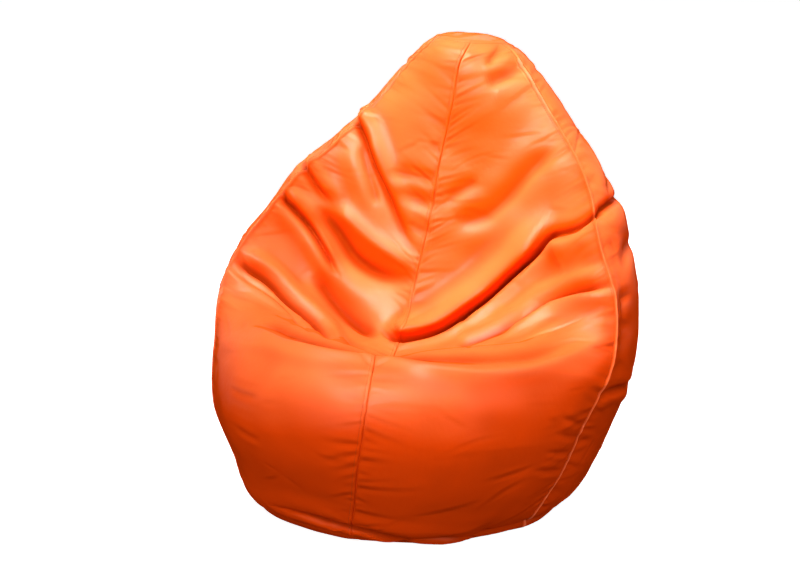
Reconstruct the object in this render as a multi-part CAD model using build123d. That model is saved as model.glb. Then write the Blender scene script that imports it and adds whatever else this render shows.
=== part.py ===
from build123d import *
import math
import os

# A bean bag chair: six leatherette gores, a cap and a base, round a zipped liner full of beads.
# Millimetres, +Z up. The seat faces -Y, and the origin is in the middle of the base, on the floor.

# Cut of the sack
BASE_RADIUS = 300        # from the middle of the base to the six seams
CROWN_RADIUS = 79        # from the middle of the cap to the six seams
CROWN_HEIGHT = 907
CROWN_Y = 216            # the crown stands this far behind the middle of the base
CROWN_TWIST = 16         # degrees that the cap has turned as the sack slumped
BELLY_SHIFT = 30         # the filled belly has settled this far to the right
BELLY_RISE = 90          # height by which it has
CROWN_LEAN = 40          # the crown leans this much further to the right
LEAN_RANGE = (520, 890)  # heights between which it leans over

# Materials and the room between the layers
COVER = 1.4
LINER = 0.9
LINER_DEPTH = 8.0        # the liner's outside, below the cover's outside
FILL_DEPTH = 10.5
LINER_FLOOR = 2.8
FILL_FLOOR = 3.4
LINER_DROP = 44          # the liner's top lies this far under the crown, clear of its own zip pull
FILL_DROP = 53
SEAM_GAP = 0.15          # each panel stops this far short of the line of a seam

# Seam lines: points (x, y, z) on the cloth between the base and the crown
FRONT_SEAM = [(-16, -338, 38), (0, -386, 120), (8, -408, 205), (8, -398, 285), (4, -354, 334),
              (-8, -284, 351), (-20, -205, 324), (-30, -122, 301), (-31, -42, 328), (-20, 14, 425),
              (0, 52, 560), (0, 84, 690), (2, 102, 790), (4, 118, 858)]
RIGHT_FORE_SEAM = [(266, -156, 38), (300, -142, 120), (342, -120, 205), (376, -102, 290),
                   (380, -84, 365), (374, -54, 440), (350, -10, 520), (322, 36, 605), (264, 86, 690),
                   (186, 130, 775), (124, 160, 850)]
LEFT_FORE_SEAM = [(-296, -166, 38), (-352, -168, 120), (-394, -156, 205), (-406, -136, 290),
                  (-404, -108, 365), (-394, -68, 440), (-358, -16, 520), (-308, 34, 605),
                  (-238, 84, 690), (-174, 128, 775), (-120, 160, 850)]
RIGHT_AFT_SEAM = [(280, 168, 38), (310, 190, 120), (338, 206, 205), (354, 216, 290), (350, 224, 390),
                  (332, 230, 500), (298, 234, 610), (224, 238, 720), (146, 240, 820)]
LEFT_AFT_SEAM = [(-300, 168, 38), (-344, 190, 120), (-364, 206, 205), (-364, 216, 290),
                 (-352, 224, 390), (-330, 230, 500), (-290, 234, 610), (-218, 238, 720),
                 (-144, 240, 820)]
BACK_FOOT = [(0, 338, 38)]
BACK_SHOULDER = [(0, 378, 630), (0, 348, 745), (0, 318, 845)]

# The cover's zip lies in the back seam, which is a true arc there
ZIP_RADIUS = 600
ZIP_CENTRE = (BELLY_SHIFT, -170, 330)
ZIP_ARC_POINTS = (-24, -14, -4, 6, 16)   # degrees above the level of the arc's middle
ZIP_ENDS = (-240, 160)                   # along the arc from that level
LINER_ZIP_ENDS = (-50, 50)               # along X from the middle of the liner's top

# Both zips, across, out from and along the line where their teeth meet
SLOT = 14                # opening in the panel that shows the teeth
SLOT_PAST = 4            # which runs on this far past the teeth
SLOT_REACH = 10          # and is cut this far in and out
TAPE = 0.8
TAPE_HALF = 17
TAPE_PAST = 8
TAPE_TOP = -2.1          # the tape's face, below the face of the panel
TOOTH = (0.7, 3.2)       # a row of teeth, across
TOOTH_TOP = -0.5
STOP_HALF = 3.4
STOP_LENGTH = 3
STOP_RISE = 0.3
SLIDER_HALF = 4.8
SLIDER_LENGTH = 14
SLIDER_PLATE = 1.2
FLANGE = 1.2
WEB_HALF = 0.4
RUNNING = 0.3            # clearance round the moving slider
LUG = (3, 5, 3.4)        # across, along and out
BORE = 1.0
PIN = 0.95
PIN_HALF = 3.1
AXLE_RISE = 1.7          # the pull's pin, above the slider's plate
PULL = (8, 22, 1.4)
PULL_ROUND = 3.2         # radius of its corners
PULL_NECK = 6            # from the pin to the tab
ARM = 1.2
PULL_HOLE = 1.8

# Bulge of a gore between its seams, as a share of its width, at shares of the way up
FRONT_BULGE = [(0, .13), (.2, .15), (.30, .12), (.36, .04), (.43, -.06), (.52, -.11), (.62, -.08),
               (.74, -.02), (.86, .06), (1, .12)]
SIDE_BULGE = [(0, .13), (.1, .15), (.5, .17), (.8, .15), (1, .13)]
BACK_BULGE = [(0, .13), (.1, .15), (.5, .16), (.8, .15), (1, .13)]
LEVELS = 24              # sections through each gore, at equal steps of its length
FOOT_SHARE = 0.4         # and one more, at this share of the first step
FRONT_STEPS = 8          # steps across a section of a front gore

GORES = {"front_right": FRONT_BULGE, "side_right": SIDE_BULGE, "back_right": BACK_BULGE,
         "back_left": BACK_BULGE, "side_left": SIDE_BULGE, "front_left": FRONT_BULGE}

# Main folds of the seat and the back. Each way is in shares across, from the front seam to the right
# or, below 0, to the left, and in shares of the way up. Then come the depth and half width of the
# valley, and the rolls on the right and the left of someone who walks along it: height, distance and
# half width.
FOLDS = {
    "seat_crease": ([(-.16, .533), (0, .533), (.18, .536), (.40, .564), (.63, .592), (.82, .611)],
                    20, 36, (3, 60, 40), (20, 66, 42)),
    "right_arm": ([(.44, .483), (.69, .50), (.92, .476)], 11, 34, (9, 60, 38), (6, 62, 38)),
    "left_long": ([(-.92, .777), (-.62, .743), (-.37, .712), (-.09, .674)],
                  12, 34, (4, 62, 38), (10, 60, 38)),
    "left_valley": ([(-.80, .618), (-.47, .60), (-.13, .611), (.04, .62)],
                    22, 38, (8, 66, 40), (15, 64, 40)),
    "left_arm": ([(-.97, .464), (-.63, .47), (-.42, .462)], 15, 34, (12, 60, 38), (9, 62, 38)),
}
FOLD_ENDS = 0.2          # share of a fold's length over which it comes up, and dies away
FOLD_CLEAR = 0.12        # share of a front gore's width, beside the fore seam, that stays smooth
WAY_STEPS = 8            # points on each stretch of a fold


def smooth(share):
    share = min(max(share, 0), 1)
    return share * share * (3 - 2 * share)


def slump(point):
    """The point, moved sideways as the filled sack has settled."""
    x, y, z = point
    low, high = LEAN_RANGE
    shift = BELLY_SHIFT * smooth(z / BELLY_RISE) + CROWN_LEAN * smooth((z - low) / (high - low))
    return Vector(x + shift, y, z)


def corner(radius, degrees, middle):
    """A seam's end on the base or the crown, in degrees from the front, towards the right."""
    turn = math.radians(degrees)
    return Vector(middle[0] + radius * math.sin(turn), middle[1] - radius * math.cos(turn), middle[2])


def zip_point(degrees):
    turn = math.radians(degrees)
    return (0, ZIP_CENTRE[1] + ZIP_RADIUS * math.cos(turn), ZIP_CENTRE[2] + ZIP_RADIUS * math.sin(turn))


def seam_lines():
    """The six seams from base to crown, counter-clockwise from the front one."""
    back_seam = BACK_FOOT + [zip_point(degrees) for degrees in ZIP_ARC_POINTS] + BACK_SHOULDER
    crown = slump((0, CROWN_Y, CROWN_HEIGHT))
    ways = [FRONT_SEAM, RIGHT_FORE_SEAM, RIGHT_AFT_SEAM, back_seam, LEFT_AFT_SEAM, LEFT_FORE_SEAM]
    lines = []
    for number, points in enumerate(ways):
        start = corner(BASE_RADIUS, 60 * number, (0, 0, COVER))
        end = corner(CROWN_RADIUS, 60 * number + CROWN_TWIST, tuple(crown))
        lines.append(Spline(start, *[slump(point) for point in points], end))
    return lines


def bulge_at(table, share):
    for (low, first), (high, second) in zip(table, table[1:]):
        if share <= high:
            return first + (second - first) * (share - low) / (high - low)
    return table[-1][1]


def outward(across, up, height):
    """The way out of the cloth, which turns level with the floor towards the base and at the crown."""
    normal = across.cross(up)
    lift = smooth((height - COVER) / BELLY_RISE) if height < CROWN_HEIGHT - 1 else 0
    return Vector(normal.X, normal.Y, normal.Z * lift).normalized()


def bell(distance, width):
    return math.exp(-(distance / width) ** 2)


class Form:
    """The sack's smooth form: its seams, and the gores that bulge between them."""

    def __init__(self):
        self.lines = seam_lines()

    def level(self, share):
        """The seam points at one share of the way up, the seams' directions, and the gores' ways out."""
        points = [line.position_at(share * line.length, PositionMode.LENGTH) for line in self.lines]
        ups = [line.tangent_at(share * line.length, PositionMode.LENGTH) for line in self.lines]
        outs = []
        for number in range(6):
            first, second = points[number], points[(number + 1) % 6]
            up = ups[number] + ups[(number + 1) % 6]
            outs.append(outward(second - first, up, (first.Z + second.Z) / 2))
        return points, ups, outs

    def spots(self, share, steps):
        """Each gore's points from seam to seam, with the way out of the cloth at each."""
        points, ups, outs = self.level(share)
        gores = []
        for number, table in enumerate(GORES.values()):
            first, second = points[number], points[(number + 1) % 6]
            sag = bulge_at(table, share) * (second - first).length
            row = []
            for step in range(steps[number] + 1):
                part = step / steps[number]
                rise = outs[number] * (sag * 4 * part * (1 - part))
                row.append((first * (1 - part) + second * part + rise, outs[number]))
            gores.append(row)
        for number, point in enumerate(points):
            middle = len(gores[number]) // 2, len(gores[number - 1]) // 2
            across = gores[number][middle[0]][0] - gores[number - 1][middle[1]][0]
            corner_spot = (point, outward(across, ups[number], point.Z))
            gores[number][0] = gores[number - 1][-1] = corner_spot
        return gores


class Fold:
    """A valley in the cloth of the front gores, with a roll on each side of it."""

    def __init__(self, form, way, depth, width, right, left):
        self.depth, self.width, self.right, self.left = depth, width, right, left
        points, outs = [], []
        for (across, up), (next_across, next_up) in zip(way, way[1:]):
            for step in range(WAY_STEPS + 1):
                part = step / WAY_STEPS
                here = across + (next_across - across) * part
                number, steps = (0, here) if here >= 0 else (5, 1 + here)
                first, _, outs_here = form.level(up + (next_up - up) * part)
                start, end = first[number], first[(number + 1) % 6]
                sag = bulge_at(FRONT_BULGE, up + (next_up - up) * part) * (end - start).length
                rise = outs_here[number] * (sag * 4 * steps * (1 - steps))
                points.append(start * (1 - steps) + end * steps + rise)
                outs.append(outs_here[number])
        self.points = points
        self.sides = []
        for i, out in enumerate(outs):
            along = points[min(i + 1, len(points) - 1)] - points[max(i - 1, 0)]
            self.sides.append(along.cross(out).normalized())

    def height(self, spot):
        """How far the fold moves a point of the smooth form outwards."""
        gaps = [(spot - point).length for point in self.points]
        nearest = gaps.index(min(gaps))
        share = nearest / (len(gaps) - 1)
        strength = smooth(share / FOLD_ENDS) * smooth((1 - share) / FOLD_ENDS)
        gap = gaps[nearest]
        side = 1 if (spot - self.points[nearest]).dot(self.sides[nearest]) > 0 else -1
        rise = -self.depth * bell(gap, self.width)
        for way, (roll, distance, width) in ((1, self.right), (-1, self.left)):
            rise += roll * bell(side * gap - way * distance, width)
        return rise * strength


def build_rings():
    """Each level's gores as rows of points, with the way out at each, and with the front gores folded."""
    form = Form()
    folds = [Fold(form, *shape) for shape in FOLDS.values()]
    rings = []
    for step in [0, FOOT_SHARE, *range(1, LEVELS)]:
        gores = form.spots(step / (LEVELS - 1), [FRONT_STEPS, 2, 2, 2, 2, FRONT_STEPS])
        for number in (0, 5):
            for place, (point, way) in enumerate(gores[number]):
                part = place / FRONT_STEPS if number else 1 - place / FRONT_STEPS
                rise = sum(fold.height(point) for fold in folds) * smooth(part / FOLD_CLEAR)
                gores[number][place] = (point + way * rise, way)
        rings.append(gores)
    return rings


class Layer:
    """The sack's form, drawn in by a depth, with its floor raised and its crown let down."""

    def __init__(self, rings, depth=0, floor=COVER, drop=0):
        self.rings, self.depth, self.floor, self.drop = rings, depth, floor, drop

    def place(self, spot, deeper=0):
        point, way = spot
        inside = point - way * (self.depth + deeper)
        raised = (self.floor - COVER) * (1 - smooth((inside.Z - COVER) / BELLY_RISE))
        lowered = self.drop * smooth((inside.Z - LEAN_RANGE[0]) / (CROWN_HEIGHT - LEAN_RANGE[0]))
        return Vector(inside.X, inside.Y, inside.Z + raised - lowered)

    def row(self, gore, deeper=0, short=0):
        """A gore's points at one level, from seam to seam, and short of both by a little."""
        points = [self.place(spot, deeper) for spot in gore]
        inwards = (points[-1] - points[0]).normalized() * short
        return [points[0] + inwards, *points[1:-1], points[-1] - inwards]

    def edge(self, points):
        """A line through a row of points, with equal steps between them, so that a loft stays even."""
        if len(points) == 3:
            return ThreePointArc(*points)
        steps = len(points) - 1
        return Edge.make_spline(points, parameters=[step / steps for step in range(steps + 1)])

    def outline(self, ring):
        return Wire([self.edge(self.row(gore)) for gore in ring])

    def plate(self, ring, thickness):
        """A flat panel of the outline of one ring, above it or, with a negative thickness, below."""
        return extrude(Face(self.outline(ring)), thickness, dir=(0, 0, 1))

    def gore(self, number, thickness):
        sections = []
        for ring in self.rings:
            outer = self.row(ring[number], 0, SEAM_GAP)
            inner = self.row(ring[number], thickness, SEAM_GAP)
            sections.append(Wire([self.edge(outer), Line(outer[-1], inner[-1]),
                                  self.edge(inner[::-1]), Line(inner[0], outer[0])]))
        return Solid.make_loft(sections)

    def solid(self):
        return Solid.make_loft([self.outline(ring) for ring in self.rings])


class ArcTrack:
    """The cover zip's line, up the back seam. Along is measured on the arc, from its middle's level."""

    axis = Axis(ZIP_CENTRE, (1, 0, 0))

    def strip(self, across, out, along):
        start, end = (math.degrees(place / ZIP_RADIUS) for place in along)
        middle = Pos(ZIP_CENTRE) * Pos(sum(across) / 2, ZIP_RADIUS + sum(out) / 2, 0)
        section = middle * Rectangle(abs(across[1] - across[0]), out[1] - out[0])
        return revolve(section, self.axis, end - start).rotate(self.axis, start)

    def plane(self, along):
        turn = along / ZIP_RADIUS
        way = Vector(0, math.cos(turn), math.sin(turn))
        return Plane(Vector(ZIP_CENTRE) + way * ZIP_RADIUS, x_dir=(1, 0, 0), z_dir=way)


class StraightTrack:
    """The liner zip's line, to the right across the liner's top."""

    def __init__(self, middle):
        self.middle = Vector(middle)

    def strip(self, across, out, along):
        sizes = [abs(end - start) for start, end in (along, across, out)]
        centre = Vector(sum(along) / 2, sum(across) / 2, sum(out) / 2)
        return Pos(self.middle + centre) * Box(*sizes)

    def plane(self, along):
        return Plane(self.middle + Vector(along, 0, 0), x_dir=(0, 1, 0), z_dir=(0, 0, 1))


def liner_track():
    crown = slump((0, CROWN_Y, CROWN_HEIGHT))
    return StraightTrack((crown.X, crown.Y, CROWN_HEIGHT - LINER_DROP + LINER))


def slot(track, ends):
    along = (ends[0] - SLOT_PAST, ends[1] + SLOT_PAST)
    return track.strip((-SLOT / 2, SLOT / 2), (-SLOT_REACH, SLOT_REACH), along)


def zip_row(track, side, ends):
    """One side's tape and its row of teeth."""
    near, far = (side * edge for edge in TOOTH)
    past = (ends[0] - TAPE_PAST, ends[1] + TAPE_PAST)
    tape = track.strip((near, side * TAPE_HALF), (TAPE_TOP - TAPE, TAPE_TOP), past)
    return tape, track.strip((near, far), (TAPE_TOP, TOOTH_TOP), ends)


def zip_stop(track, start):
    """A clamp across the end of both rows of teeth."""
    out = (TAPE_TOP, TOOTH_TOP + STOP_RISE)
    return track.strip((-STOP_HALF, STOP_HALF), out, (start, start + STOP_LENGTH))


def slider_rest(ends):
    return ends[1] - SLIDER_LENGTH / 2 - RUNNING


def slider_top():
    return TOOTH_TOP + RUNNING + SLIDER_PLATE


def zip_slider(track, ends):
    """Two plates joined by a web that runs between the rows of teeth, with a lug for the pull."""
    middle = slider_rest(ends)
    along = (middle - SLIDER_LENGTH / 2, middle + SLIDER_LENGTH / 2)
    top, under = slider_top(), TAPE_TOP - TAPE - RUNNING
    wide = (-SLIDER_HALF, SLIDER_HALF)
    body = track.strip(wide, (top - SLIDER_PLATE, top), along)
    body += track.strip(wide, (under - SLIDER_PLATE, under), along)
    body += track.strip((-WEB_HALF, WEB_HALF), (under - SLIDER_PLATE, top), along)
    for side in (-1, 1):
        edges = sorted((side * SLIDER_HALF, side * (SLIDER_HALF - FLANGE)))
        body += track.strip(edges, (TAPE_TOP + RUNNING, top), along)
    plane = track.plane(middle)
    body += plane * Pos(0, 0, top + LUG[2] / 2 - RUNNING) * Box(LUG[0], LUG[1], LUG[2] + RUNNING)
    return body - plane * Pos(0, 0, top + AXLE_RISE) * Rot(0, 90, 0) * Cylinder(BORE, LUG[0] * 2)


def zip_pull(track, ends):
    """A pin through the slider's lug, two arms and a rounded tab, which lies back along the teeth."""
    plane = track.plane(slider_rest(ends)) * Pos(0, 0, slider_top() + AXLE_RISE)
    width, length, thick = PULL
    pull = Rot(0, 90, 0) * Cylinder(PIN, 2 * PIN_HALF)
    for side in (-1, 1):
        pull += Pos(side * (PIN_HALF - ARM / 2), PULL_NECK / 2, 0) * Box(ARM, PULL_NECK, thick)
    middle = PULL_NECK + length / 2
    tab = Pos(0, middle, 0) * extrude(RectangleRounded(width, length, PULL_ROUND), thick / 2, both=True)
    hole = Pos(0, PULL_NECK + length - width / 2, 0) * Cylinder(PULL_HOLE, 2 * thick)
    return plane * (pull + tab - hole)


def cover_nodes(rings):
    cover, track, nodes = Layer(rings), ArcTrack(), {}
    for number, name in enumerate(GORES):
        gore = cover.gore(number, COVER)
        nodes["cover_panel_" + name] = gore - slot(track, ZIP_ENDS) if name.startswith("back") else gore
    nodes["top_cap"] = cover.plate(rings[-1], COVER)
    nodes["base_panel"] = cover.plate(rings[0], -COVER)
    for side, name in ((1, "right"), (-1, "left")):
        nodes["zip_tape_" + name], nodes["zip_teeth_" + name] = zip_row(track, side, ZIP_ENDS)
    nodes["zip_top_stop"] = zip_stop(track, ZIP_ENDS[1])
    nodes["zip_bottom_stop"] = zip_stop(track, ZIP_ENDS[0] - STOP_LENGTH)
    nodes["zip_slider"] = zip_slider(track, ZIP_ENDS)
    nodes["zip_pull"] = zip_pull(track, ZIP_ENDS)
    return nodes


def liner_nodes(rings):
    liner, nodes = Layer(rings, LINER_DEPTH, LINER_FLOOR, LINER_DROP), {}
    track = liner_track()
    for number, name in enumerate(GORES):
        nodes["liner_panel_" + name] = liner.gore(number, LINER)
    nodes["liner_top"] = liner.plate(rings[-1], LINER) - slot(track, LINER_ZIP_ENDS)
    nodes["liner_base"] = liner.plate(rings[0], -LINER)
    for side, name in ((1, "back"), (-1, "front")):
        tape, teeth = zip_row(track, side, LINER_ZIP_ENDS)
        nodes["liner_zip_tape_" + name], nodes["liner_zip_teeth_" + name] = tape, teeth
    stops = [zip_stop(track, start) for start in (LINER_ZIP_ENDS[0] - STOP_LENGTH, LINER_ZIP_ENDS[1])]
    nodes["liner_zip_stops"] = Compound(children=stops)
    nodes["liner_zip_slider"] = zip_slider(track, LINER_ZIP_ENDS)
    nodes["liner_zip_pull"] = zip_pull(track, LINER_ZIP_ENDS)
    return nodes


def main():
    os.makedirs("parts", exist_ok=True)
    rings = build_rings()
    nodes = cover_nodes(rings) | liner_nodes(rings)
    nodes["bead_fill"] = Layer(rings, FILL_DEPTH, FILL_FLOOR, FILL_DROP).solid()
    for name, shape in nodes.items():
        export_step(shape, f"parts/{name}.step")
    zips = ("cover", ArcTrack(), ZIP_ENDS), ("liner", liner_track(), LINER_ZIP_ENDS)
    for title, track, ends in zips:
        pin = track.plane(slider_rest(ends)) * Pos(0, 0, slider_top() + AXLE_RISE)
        travel = ends[1] - ends[0] - SLIDER_LENGTH - 2 * RUNNING
        print(f"{title} zip: the slider travels {travel:.1f}, the pull turns about {pin.position}")


if __name__ == "__main__":
    main()
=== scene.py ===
import math
import bpy
import numpy as np
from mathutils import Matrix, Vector
from mathutils.bvhtree import BVHTree


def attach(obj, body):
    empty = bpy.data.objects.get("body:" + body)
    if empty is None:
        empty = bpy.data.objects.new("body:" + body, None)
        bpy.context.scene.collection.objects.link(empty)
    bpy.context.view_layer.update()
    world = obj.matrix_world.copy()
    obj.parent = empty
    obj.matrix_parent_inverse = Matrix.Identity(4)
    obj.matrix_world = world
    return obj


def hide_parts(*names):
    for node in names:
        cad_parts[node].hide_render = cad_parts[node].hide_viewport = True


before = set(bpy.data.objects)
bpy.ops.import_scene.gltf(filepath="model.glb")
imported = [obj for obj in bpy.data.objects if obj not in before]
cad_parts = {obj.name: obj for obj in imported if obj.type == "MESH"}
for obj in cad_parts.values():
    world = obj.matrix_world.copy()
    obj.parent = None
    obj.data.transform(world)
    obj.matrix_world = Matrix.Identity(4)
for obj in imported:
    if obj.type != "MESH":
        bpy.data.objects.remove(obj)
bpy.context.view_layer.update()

# A bean bag chair in orange leatherette. Lengths are in millimetres up to the meshes, which are in metres.
MM = 0.001
SEED = 7
ROOT = "sack"

# The photograph's camera, from the fit of the outline: it looks down a little, from the right of the front
PHOTO_WIDTH, PHOTO_HEIGHT = 800, 566
CAMERA_PLACE = (826.9, -2883.8, 1080.0)
CAMERA_PITCH = 12.241
CAMERA_HEADING = 16.313
FOCAL_PIXELS = 1545.0
SENSOR_WIDTH = 36.0

# Cut of the sack: base, crown and the six seam lines between them, as the frame's panels have them
COVER = 1.4
BASE_RADIUS = 300
CROWN_RADIUS = 79
CROWN_HEIGHT = 907
CROWN_Y = 216
CROWN_TWIST = 16
CROWN_FALL = 45  # below the cap, where the gores turn upright
BELLY_SHIFT = 30
BELLY_RISE = 90
CROWN_LEAN = 40
LEAN_RANGE = (520, 890)
ZIP_RADIUS = 600
ZIP_CENTRE = (30, -170, 330)
ZIP_ENDS = (-240, 160)
FRONT_SEAM = [(-16, -338, 38), (0, -386, 120), (8, -408, 205), (8, -398, 285), (4, -354, 334),
    (-8, -284, 351), (-20, -205, 324), (-30, -122, 301), (-31, -42, 328), (-20, 14, 425),
    (0, 52, 560), (0, 84, 690), (2, 102, 790), (4, 118, 858)]
RIGHT_FORE_SEAM = [(266, -156, 38), (300, -142, 120), (342, -120, 205), (376, -102, 290), (380, -84, 365),
    (374, -54, 440), (350, -10, 520), (322, 36, 605), (264, 86, 690), (186, 130, 775), (124, 160, 850)]
LEFT_FORE_SEAM = [(-296, -166, 38), (-352, -168, 120), (-394, -156, 205), (-406, -136, 290),
    (-404, -108, 365), (-394, -68, 440), (-358, -16, 520), (-308, 34, 605), (-238, 84, 690),
    (-174, 128, 775), (-120, 160, 850)]
RIGHT_AFT_SEAM = [(280, 168, 38), (310, 190, 120), (338, 206, 205), (354, 216, 290), (350, 224, 390),
    (332, 230, 500), (298, 234, 610), (224, 238, 720), (146, 240, 820)]
LEFT_AFT_SEAM = [(-300, 168, 38), (-344, 190, 120), (-364, 206, 205), (-364, 216, 290), (-352, 224, 390),
    (-330, 230, 500), (-290, 234, 610), (-218, 238, 720), (-144, 240, 820)]
BACK_FOOT = [(0, 338, 38)]
BACK_ARC = (-24, -14, -4, 6, 16)
BACK_SHOULDER = [(0, 378, 630), (0, 348, 745), (0, 318, 845)]
FRONT_BULGE = [(0, .13), (.2, .15), (.30, .12), (.36, .04), (.43, -.06), (.52, -.11), (.62, -.08),
    (.74, -.02), (.86, .06), (1, .12)]
SIDE_BULGE = [(0, .13), (.1, .15), (.5, .17), (.8, .15), (1, .13)]
BACK_BULGE = [(0, .13), (.1, .15), (.5, .16), (.8, .15), (1, .13)]
GORES = {"front_right": FRONT_BULGE, "side_right": SIDE_BULGE, "back_right": BACK_BULGE,
    "back_left": BACK_BULGE, "side_left": SIDE_BULGE, "front_left": FRONT_BULGE}
ROWS = 400  # of a gore's mesh, base to crown
FOOT_ROWS, FOOT_SHARE = 70, .07  # so many of them in the lowest part
COLUMNS = 110  # and across it, closer together near its seams
EDGE_CROWDING = 0.65
CURVE_STEPS, CURVE_STEPS_EACH = 400, 12  # along a seam to measure it, and as many more for each point
INNER_ROWS, INNER_COLUMNS = 90, 25  # of the layers inside
INNER_CLEAR = 8  # rows and columns of the cover over which these stay below its folds
CAP_RINGS, SOLE_RINGS, LINER_RINGS = 26, 20, 8

# Slack of the cloth: height, wave lengths and number of its waves, and the ranges for each small wrinkle
SLOW_WAVES = (1.6, (110, 240), 12)
FINE_WAVES = (0.35, (35, 80), 16)
WRINKLE_EDGE = .5  # height of a wrinkle's raised edge, as a share of its depth
PUCKER_START, PUCKER_END, PUCKER_GAP = (10, 30), 20, (11, 28)
PUCKER = dict(reach=(18, 62), depth=(.8, 3.2), slant=(-.35, .35), width=(3.2, 6.5))
CRINKLES, CRINKLE_TURN = 55, .3  # on a gore
CRINKLE_ROWS, CRINKLE_COLUMNS = (ROWS // 8, ROWS * 7 // 8), (6, COLUMNS - 6)
CRINKLE = dict(length=(14, 48), width=(2.6, 5.5), bend=(-.004, .004), depth=(.4, 1.6))
PUCKER_CLEAR, CRINKLE_CLEAR = 8, 12  # distance from the seam at which these are at their full depth
CRINKLE_THROUGH = 60  # so far before and behind the cloth it leaves other cloth alone

# Band above the floor: middle, half width and height of its swells and of the crease between them
BAND_WAVES = (4, (260, 520), 8)
BAND_RISE = 12
BAND_SWELLS = ((48, 22, 5), (10, 9, 5), (24, 5, -5))
BAND_SAG = (36, 11, 3)

# Layers, sewing and zips, as in the frame
LINER, LINER_DEPTH, LINER_FLOOR, LINER_DROP = 0.9, 8.0, 2.8, 44
FILL_DEPTH, FILL_FLOOR, FILL_DROP = 11.0, 4.0, 54
LINER_TOP = CROWN_HEIGHT - LINER_DROP + LINER
LINER_SLOT = (54, 7)  # half its length and half its width
LINER_ZIP_ENDS = (-50, 50)
SLOT, SLOT_PAST, SLOT_ROUND = 14, 7, 4
SLOT_CROWDING = 12  # power of the share across, so that only the cloth beside the zip makes room
ZIP_CALM_PAST, ZIP_CALM_FADE, ZIP_CALM_SIDE = 40, 30, 15
ZIP_CALM_FULL = .99  # the zip's stitching has the rows that are calmer than this
TAPE, TAPE_HALF, TAPE_PAST, TAPE_TOP = 0.8, 17, 8, -2.1
TAPE_STEP, TAPE_COLUMNS = 4, 6
TOOTH, TOOTH_TOP = (0.7, 3.2), -0.5
COIL_PITCH, COIL_WIRE = 1.6, .8  # the wire as a share of the pitch
BAR_SIDES = 6  # of a stitch or a turn of the coil; then places along it, and its width there
BAR_STATIONS = ((-.5, 0), (-.42, .62), (-.2, 1), (.2, 1), (.42, .62), (.5, 0))
STITCH = (3.7, 0.9, 0.7)  # length, width and height of the thread that shows
STITCH_PITCH = 5.0
STITCH_RISE = 0.05
FELL_STITCH = 8.0  # from the seam
CAP_STITCH_ROWS = 2
RAISED_SEAMS = (1, 5)  # the two fore seams; seam 0 is the front one, and they count to the right
SEAM_DRAW, SEAM_DRAW_REACH = 1.6, 1.3
RIDGE = ((0, 1.9, 1.9), (5, 2.6, -.7))  # of a raised seam: distance from it, half width and height
FELL_RISE, FELL_WIDTH, FELL_SLOPE = .7, 10.5, 2.5
SEW_FROM_CAP, SEW_FROM_FLOOR = 20, 40  # distances at which a seam has its full relief
CAP_DOME, CAP_CRUMPLE, CAP_WAVES = 9, 1.6, ((38, 90), 10)
CAP_TIP, CAP_TIP_REACH = 11, 75  # the cap has sunk on its right
CAP_EDGE, SOLE_EDGE = .15, .01  # shares of the way in over which these leave the gores
SOLE = COVER * .9
WELD = 0.02
CROWN_DRAW, CROWN_DRAW_REACH = 9, 17  # of the gores, in over the edge of the cap
CROWN_PLAIN, CROWN_FADE = 2, 24  # folds begin so far below that edge, and come up over so much
METAL_NODES = ["zip_slider", "zip_pull", "zip_top_stop", "zip_bottom_stop", "liner_zip_slider",
               "liner_zip_pull", "liner_zip_stops"]

# Colours and light
LEATHERETTE, LEATHERETTE_DEEP = "#D63E05", "#CE3A04"
LEATHERETTE_PAINTED_LIGHT = "#F5672C"  # painted light: paler where the cloth faces up towards the lamps, and along the raised seam ridges
# painted shade: the darker orange deep in the folds
LEATHERETTE_PAINTED_SHADE = "#982D04"
THREAD, THREAD_DEEP = "#A83C0A", "#7E2A06"
FLOOR_BOUNCE = "#75706B"
FLOOR_GLOW = 0.93
FLOOR_SIZE = 60
WORLD_LIGHT = 0.08
SOFTBOXES = {
    "overhead_softbox": ((-.3, -.7, 2.75), (.05, .0, .35), 2.4, 12, 180),
    "back_softbox": ((-.2, -1.6, 2.3), (.1, .12, .66), .9, 8, 32),
    "right_softbox": ((1.3, -1.2, 2.2), (.28, .05, .52), .9, 1.7, 40),
    "front_fill": ((-1.2, -3.2, .25), (0, 0, .2), 1.8, 66, 180),
    "side_fill": ((2.6, -1.2, 1.0), (.2, 0, .4), 1.2, 24, 180),
    "rear_fill": ((-.8, 3.0, 1.6), (0, .2, .4), 1.8, 40, 180),
}

# Folds of the cover: the way of each valley in the photograph's pixels, its depth and half width, and the
# rolls beside it, each (height as a share of the depth, distance, half width). Right and left are those of
# someone who walks along it on the cloth. A negative depth is a roll. Past says how far it runs on, round
# the form, before the first and after the last of these pixels.
FOLD_SCALE = 1.5
FOLD_STEP, FOLD_ENDS = 5, 25  # between points along it, and how far it dies away past its ends
FOLD_START, FOLD_RIM, FOLD_SHARP = .02, .3, 1.5  # at its ends, at the edge of its reach, of its sides
FOLD_FACING = 2  # cloth that is turned up to 60 degrees away from it takes the whole of it
PLAIN_ROLL, NO_ROLL = (.35, 26, 18), (0, 1, 1)
FOLD_SHADE_REACH, FOLD_SHADE_DEPTH = 10, 13  # rows and columns around, and the depth at which the painted shade in a fold is full
PAINTED_LIGHT_FROM, PAINTED_LIGHT_TO = 0, .72  # how far up the cloth faces where the painted light begins and where it is full
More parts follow.
